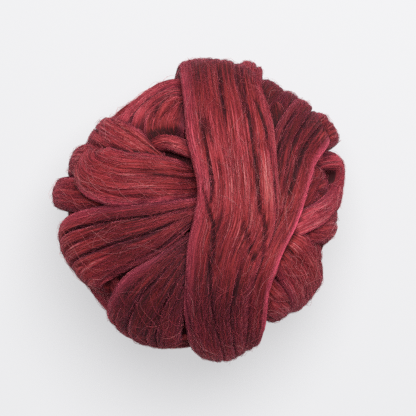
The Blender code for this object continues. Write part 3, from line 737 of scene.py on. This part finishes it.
FIBRES = (
    Fibres("lying_fibres", 255000, 6, 0.000075, 0.012, 0.032,
           0.0014, 0.00004, 0.00030, 0.0005, 0.44, 0.14, 0.6),
    Fibres("stray_fibres", 46000, 7, 0.000070, 0.008, 0.024,
           0.0090, 0.00020, 0.00100, 0.0015, 0.78, 0.14, 0.3),
    Fibres("loose_wisps", 7000, 10, 0.000060, 0.012, 0.026,
           0.0110, 0.00080, 0.00220, 0.0016, 0.92, 0.06, 0.0),
)


def sight_of(grids):
    """A search tree over the outer sides of all laps, which tells what a look from a point meets."""
    points, faces, start = [], [], 0
    for grid in grids:
        rows = grid.points.shape[0]
        outer = grid.points[:, :grid.over]
        index = np.arange(rows * grid.over).reshape(rows, grid.over) + start
        points.append(outer.reshape(-1, 3))
        quads = np.stack([index[:-1, :-1], index[:-1, 1:], index[1:, 1:], index[1:, :-1]], axis=-1)
        faces.append(quads.reshape(-1, 4))
        start += rows * grid.over
    return BVHTree.FromPolygons(np.concatenate(points).tolist(), np.concatenate(faces).tolist())


def in_sight(tree, paths):
    """Which fibres lie open at two or all of three places: their middle and near both ends."""
    seen = []
    ways = outward_from_centre(paths)
    spots = [1, paths.shape[1] // 2, paths.shape[1] - 2]
    for path, way in zip(paths, ways):
        starts = path + way * SIGHT_START
        meets = [tree.ray_cast(Vector(starts[i]), Vector(way[i]), SIGHT_REACH)[0] for i in spots]
        seen.append(sum(meet is not None for meet in meets) <= 1)
    return np.array(seen, dtype=bool)


def lap_fibres(grid, kind, rng):
    """Fibres of one kind that lie along a lap, each with its own drift, crimp and height over the surface.

    Beside their paths it gives how much painted shade and the lap's tone darken each, and how much painted
    pink glow each gets.
    """
    across = grid.girth[grid.over - 1]
    count = round(across * grid.runs[-1] * kind.per_area)
    rows = len(grid.points)
    spans = np.minimum(rng.uniform(kind.shortest, kind.longest, count) / STEP_ALONG, rows - 2)
    starts = rng.uniform(0, 1, count) * (rows - 1 - spans)
    part = np.linspace(0, 1, kind.points)
    row = starts[:, None] + spans[:, None] * part
    lean = rng.normal(0, kind.drift, count)[:, None]
    waves = 2 * pi * rng.uniform(*FIBRE_WAVES, count)[:, None] * part
    phase = rng.uniform(0, 2 * pi, count)[:, None]
    sway = kind.crimp * np.sin(waves + phase)
    offset = np.clip(rng.uniform(0, across, count)[:, None] + lean * (part - 0.5) + sway, 0, across)
    column = np.interp(offset, grid.girth[:grid.over], np.arange(grid.over))
    points = grid.at(row, column)
    height = rng.uniform(kind.lowest, kind.highest, count)[:, None]
    rise = height * (RISE_MIDDLE + RISE_SWING * np.sin(waves * RISE_WAVES + phase * 2))
    middle = kind.points // 2
    ring = np.clip(row[:, middle].astype(int), 0, rows - 1)
    spot = column[:, middle].astype(int)
    # the lap's tone, with its painted light and shade, and painted shade from the hollow under the fibre
    tone = grid.tones[ring] + SIDE_LIGHT_TONE * painted_side_light(points[:, middle])
    darkness = kind.sinking * grid.hollow[ring, spot] - FIBRE_TONE * tone
    paths = points + outward_from_centre(points) * rise[..., None]
    return paths, darkness, FIBRE_GLOW * grid.rim[ring, spot]


def tubes(paths, radius):
    """Corner points and triangles of thin three-sided tubes that end in points, and the corners' places."""
    count, length = paths.shape[:2]
    heading = unit(np.gradient(paths, axis=1))
    side = unit(np.cross(outward_from_centre(paths), heading))
    up = np.cross(heading, side)
    inner = slice(1, length - 1)
    taper = np.sin(pi * np.linspace(0, 1, length))[None, inner, None] ** FIBRE_ENDS
    rings = []
    for corner in range(FIBRE_SIDES):
        turn = 2 * pi * corner / FIBRE_SIDES + pi / 2
        spoke = np.cos(turn) * side[:, inner] + np.sin(turn) * up[:, inner]
        rings.append(paths[:, inner] + spoke * taper * radius[:, None, None])
    ring_points = np.stack(rings, axis=2)
    points = np.concatenate([paths[:, :1], ring_points.reshape(count, -1, 3), paths[:, -1:]], axis=1)
    pattern, places = tube_pattern(length - 2)
    faces = (np.arange(count) * points.shape[1])[:, None, None] + pattern[None]
    return points.reshape(-1, 3), faces.reshape(-1, 3), places


def tube_pattern(rings):
    """The triangles of one tube, and where each of their corners lies along and round it, from 0 to 1."""
    tip = 1 + rings * FIBRE_SIDES
    faces, places = [], []
    step = 1.0 / (rings + 1)

    def spot(ring, corner):
        return (ring + 1) * step, corner / FIBRE_SIDES

    for corner in range(FIBRE_SIDES):
        beside = (corner + 1) % FIBRE_SIDES
        middle = (corner + 0.5) / FIBRE_SIDES
        faces.append((0, 1 + beside, 1 + corner))
        places.append(((0.0, middle), spot(0, corner + 1), spot(0, corner)))
        for ring in range(rings - 1):
            low, high = 1 + ring * FIBRE_SIDES, 1 + (ring + 1) * FIBRE_SIDES
            faces.append((low + corner, low + beside, high + beside))
            places.append((spot(ring, corner), spot(ring, corner + 1), spot(ring + 1, corner + 1)))
            faces.append((low + corner, high + beside, high + corner))
            places.append((spot(ring, corner), spot(ring + 1, corner + 1), spot(ring + 1, corner)))
        low = 1 + (rings - 1) * FIBRE_SIDES
        faces.append((low + corner, low + beside, tip))
        places.append((spot(rings - 1, corner), spot(rings - 1, corner + 1), (1.0, middle)))
    return np.array(faces), np.array(places)


def add_fibres(name, paths, radii, tones, glows, material):
    """Many fibres joined into one mesh, each with its own cell of the map and its own tone."""
    points, faces, places = tubes(paths, radii)
    points[:, 2] = np.maximum(points[:, 2], FLOOR_GAP)
    mesh = bpy.data.meshes.new(name)
    mesh.from_pydata(points, [], faces)
    count = len(paths)
    cells = int(np.ceil(np.sqrt(count)))
    cell = np.stack([np.arange(count) % cells, np.arange(count) // cells], axis=-1)
    room = 1 - 2 * MAP_INSET
    add_map(mesh, "OFBake", (cell[:, None, None, :] + MAP_INSET + places * room) / cells)
    for value, numbers in (("tone", tones), ("rim", glows)):
        add_value(mesh, value, np.repeat(numbers, len(points) // count))
    add_piece(mesh, material)


def scatter(kind, grids, tree, rng, material):
    """All fibres of one kind that show, mixed, and shared out over pieces of one size."""
    open_fibres = []
    for grid in grids:
        fibres = lap_fibres(grid, kind, rng)
        seen = in_sight(tree, fibres[0])
        open_fibres.append([part[seen] for part in fibres])
    paths, darkness, glows = (np.concatenate(parts) for parts in zip(*open_fibres))
    order = rng.permutation(len(paths))
    paths, darkness, glows = paths[order], darkness[order], glows[order]
    tones = np.clip(rng.normal(kind.tone, kind.spread, len(paths)) - darkness, 0, 1)
    radii = kind.radius * rng.uniform(*FIBRE_RADII, len(paths))
    pieces = 1 + len(paths) // FIBRES_IN_A_PIECE
    for number, share in enumerate(np.array_split(np.arange(len(paths)), pieces), start=1):
        add_fibres(f"{kind.name}_{number}", paths[share], radii[share], tones[share], glows[share], material)


# -------------------- materials
class Shader:
    """A material's node tree, with short calls for its nodes. A colour is given as three numbers."""

    def __init__(self, name):
        self.material = bpy.data.materials.new(name)
        self.material.use_nodes = True
        self.tree = self.material.node_tree
        self.surface = self.tree.nodes["Principled BSDF"]

    def node(self, kind, settings=None, **inputs):
        made = self.tree.nodes.new("ShaderNode" + kind)
        for name, value in (settings or {}).items():
            setattr(made, name, value)
        for name, value in inputs.items():
            self.put(made.inputs[name], value)
        return made

    def put(self, socket, value):
        if isinstance(value, bpy.types.NodeSocket):
            self.tree.links.new(value, socket)
        else:
            socket.default_value = (*value, 1.0) if socket.type == "RGBA" else value

    def cover(self, finish):
        """Gives the surface what is listed by the names of its sockets, and hands over the material."""
        for name, value in finish.items():
            self.put(self.surface.inputs[name], value)
        return self.material

    def math(self, operation, *values, clamp=False):
        made = self.node("Math", {"operation": operation, "use_clamp": clamp})
        for socket, value in zip(made.inputs, values):
            self.put(socket, value)
        return made.outputs[0]

    def blend(self, *parts, start=0.0):
        """The sum of a start and of outputs, each times its share."""
        total = start
        for output, share in parts:
            total = self.math("MULTIPLY_ADD", output, share, total)
        return total

    def attribute(self, name):
        return self.node("Attribute", {"attribute_name": name}).outputs["Fac"]

    def ramp(self, value, places, colours):
        made = self.node("ValToRGB", Fac=value)
        while len(made.color_ramp.elements) < len(places):
            made.color_ramp.elements.new(1.0)
        for element, place, colour in zip(made.color_ramp.elements, places, colours):
            element.position = place
            element.color = (*colour, 1.0)
        return made.outputs["Color"]

    def mix(self, share, first, second, blend="MIX"):
        made = self.node("Mix", {"data_type": "RGBA", "blend_type": blend})
        for number, value in ((0, share), (6, first), (7, second)):
            self.put(made.inputs[number], value)
        return made.outputs[2]


DEEP_WOOL = (0.034, 0.0080, 0.0092)
DARK_WOOL = (0.112, 0.0122, 0.0128)
MIDDLE_WOOL = (0.268, 0.0245, 0.0275)
LIGHT_WOOL = (0.405, 0.0600, 0.0700)
PALE_WOOL = (0.560, 0.2050, 0.2050)
# painted light: the pink of light coming through thin wool
PAINTED_GLOW_WOOL = (0.720, 0.0950, 0.1650)
COOL_CAST = (0.98, 0.92, 1.04)
WARM_CAST = (1.02, 1.03, 0.95)

# the laps' level, and the fibres' tone, at which they have each of these colours
WOOL_COLOURS = (DEEP_WOOL, DARK_WOOL, MIDDLE_WOOL, LIGHT_WOOL, PALE_WOOL)
WOOL_LEVELS = (0.08, 0.30, 0.52, 0.74, 0.95)
FIBRE_LEVELS = (0.00, 0.30, 0.55, 0.80, 1.00)

FINE_STREAK = (0.00055, 0.028)  # width and length
LOCK_STREAK = (0.0016, 0.040)
STRAND_STREAK = (0.0050, 0.080)
PATCHES = 24.0                  # in a metre
STREAK_RELIEF = 0.0010          # of the bump from dark streaks to light ones


def streaks(shader, flow, width, length):
    """Noise drawn out along the fibres into streaks."""
    stretched = shader.node("Mapping", Vector=flow, Scale=(1.0 / width, 1.0 / length, 1.0))
    made = shader.node("TexNoise", Vector=stretched.outputs[0], Scale=1.0, Detail=1.0, Roughness=0.6)
    return made.outputs["Fac"]


def wool_surface():
    """Combed wool: streaks of several sizes along the fibres, with painted shade in the hollows, and painted
    pink glow at thin edges and on the ball's side.
    """
    shader = Shader("combed_wool")
    flow = shader.node("UVMap", {"uv_map": "Flow"}).outputs["UV"]
    place = shader.node("TexCoord").outputs["Object"]
    fine = streaks(shader, flow, *FINE_STREAK)
    lock = streaks(shader, flow, *LOCK_STREAK)
    strand = streaks(shader, flow, *STRAND_STREAK)
    patch = shader.node("TexNoise", Vector=place, Scale=PATCHES, Detail=2.0).outputs["Fac"]
    # the tone holds the wool's own tone with painted light and shade, and the hollows add painted shade
    level = shader.blend((fine, 1.55), (lock, 0.20), (strand, 0.12), (patch, 0.26),
                         (shader.attribute("tone"), 0.25), (shader.attribute("hollow"), -0.58), start=-0.52)
    warmth = shader.math("ADD", shader.blend((strand, 2.0), (patch, 3.0)), -2.0, clamp=True)
    cast = shader.mix(warmth, COOL_CAST, WARM_CAST)
    colour = shader.mix(1.0, shader.ramp(level, WOOL_LEVELS, WOOL_COLOURS), cast, "MULTIPLY")
    # painted pink glow from the rim value, varied by the fine streaks
    thin = shader.blend((fine, 1.0), start=0.25)
    edge = shader.math("MULTIPLY", thin, shader.attribute("rim"), clamp=True)
    height = shader.blend((fine, 1.0), (lock, 0.8))
    bump = shader.node("Bump", Height=height, Strength=1.0, Distance=STREAK_RELIEF)
    return shader.cover({
        "Base Color": shader.mix(edge, colour, PAINTED_GLOW_WOOL),
        "Roughness": shader.blend((fine, -0.4), start=0.90),
        "Specular IOR Level": 0.12,
        "Sheen Weight": 0.50,
        "Sheen Roughness": 0.30,
        "Sheen Tint": (1.0, 0.18, 0.25),
        "Normal": bump.outputs["Normal"],
    })


def fibre_surface():
    """Single fibres, each in its own tone, which carries painted shade from the hollows, with the painted
    pink glow of their lap.
    """
    shader = Shader("loose_fibre")
    colour = shader.ramp(shader.attribute("tone"), FIBRE_LEVELS, WOOL_COLOURS)
    return shader.cover({
        "Base Color": shader.mix(shader.attribute("rim"), colour, PAINTED_GLOW_WOOL),
        "Roughness": 0.6,
        "Specular IOR Level": 0.15,
        "Sheen Weight": 0.15,
        "Sheen Tint": (1.0, 0.15, 0.40),
    })


def floor_paint():
    return Shader("pale_floor").cover({
        "Base Color": (0.21, 0.21, 0.213),
        "Roughness": 0.9,
        "Specular IOR Level": 0.0,
        "Emission Color": (0.98, 0.985, 1.0),
        "Emission Strength": 0.575,
    })


# -------------------- the ball, floor, light and camera
FLOOR_WIDTH = 12.0
ROOM_LIGHT = 0.17
WINDOW_PLACE = (0.12, 0.42, 1.12)
WINDOW_WIDTH = 0.90
WINDOW_POWER = 22.5             # watts
CAMERA_PLACE = (0.0045, 0.0011, 0.945)
CAMERA_LENS = 139.0             # millimetres, as is its sensor
CAMERA_SENSOR = 36.0
PIXEL_FILTER = 1.5              # pixels


def ball():
    """The laps, the winding round the waist, the core and the loose fibres."""
    wool = wool_surface()
    fibre = fibre_surface()
    grids = [LapGrid(lap, number) for number, lap in enumerate(LAPS)]
    grids.append(LapGrid(waist(), len(LAPS), COARSE_STEP_ACROSS))
    tree = sight_of(grids)
    for grid in grids:
        grid.hollow = hollow_of(grid, tree)
        grid.rim = painted_glow_of(grid)
        add_lap(grid, wool)
    add_core(wool)
    rng = np.random.default_rng(FIBRE_SEED)
    for kind in FIBRES:
        scatter(kind, grids, tree, rng, fibre)


def stage():
    """A pale floor in a pale room."""
    bpy.ops.object.select_all(action="DESELECT")
    bpy.ops.mesh.primitive_plane_add(size=FLOOR_WIDTH, location=(0, 0, 0))
    floor = bpy.context.active_object
    floor.name = "floor"
    floor.data.materials.append(floor_paint())
    world = bpy.data.worlds.new("pale_room")
    world.use_nodes = True
    background = world.node_tree.nodes["Background"]
    background.inputs["Color"].default_value = (1.0, 1.0, 1.0, 1.0)
    background.inputs["Strength"].default_value = ROOM_LIGHT
    bpy.context.scene.world = world


def window():
    """The one lamp: a soft light above the ball's far side."""
    data = bpy.data.lights.new("window", "AREA")
    data.shape = "DISK"
    data.size = WINDOW_WIDTH
    data.energy = WINDOW_POWER
    lamp = bpy.data.objects.new("window", data)
    lamp.location = WINDOW_PLACE
    lamp.rotation_euler = (CENTRE - lamp.location).to_track_quat("-Z", "Y").to_euler()
    bpy.context.scene.collection.objects.link(lamp)


def camera():
    """The photograph's view, from straight above."""
    data = bpy.data.cameras.new("camera")
    data.lens = CAMERA_LENS
    data.sensor_width = CAMERA_SENSOR
    seen_from = bpy.data.objects.new("camera", data)
    seen_from.location = CAMERA_PLACE
    bpy.context.scene.collection.objects.link(seen_from)
    bpy.context.scene.camera = seen_from


ball()
stage()
window()
camera()
# single fibres stay sharp only with a narrow pixel filter, and without the denoiser
bpy.context.scene.view_settings.view_transform = "Standard"
bpy.context.scene.cycles.use_denoising = False
bpy.context.scene.cycles.filter_width = PIXEL_FILTER
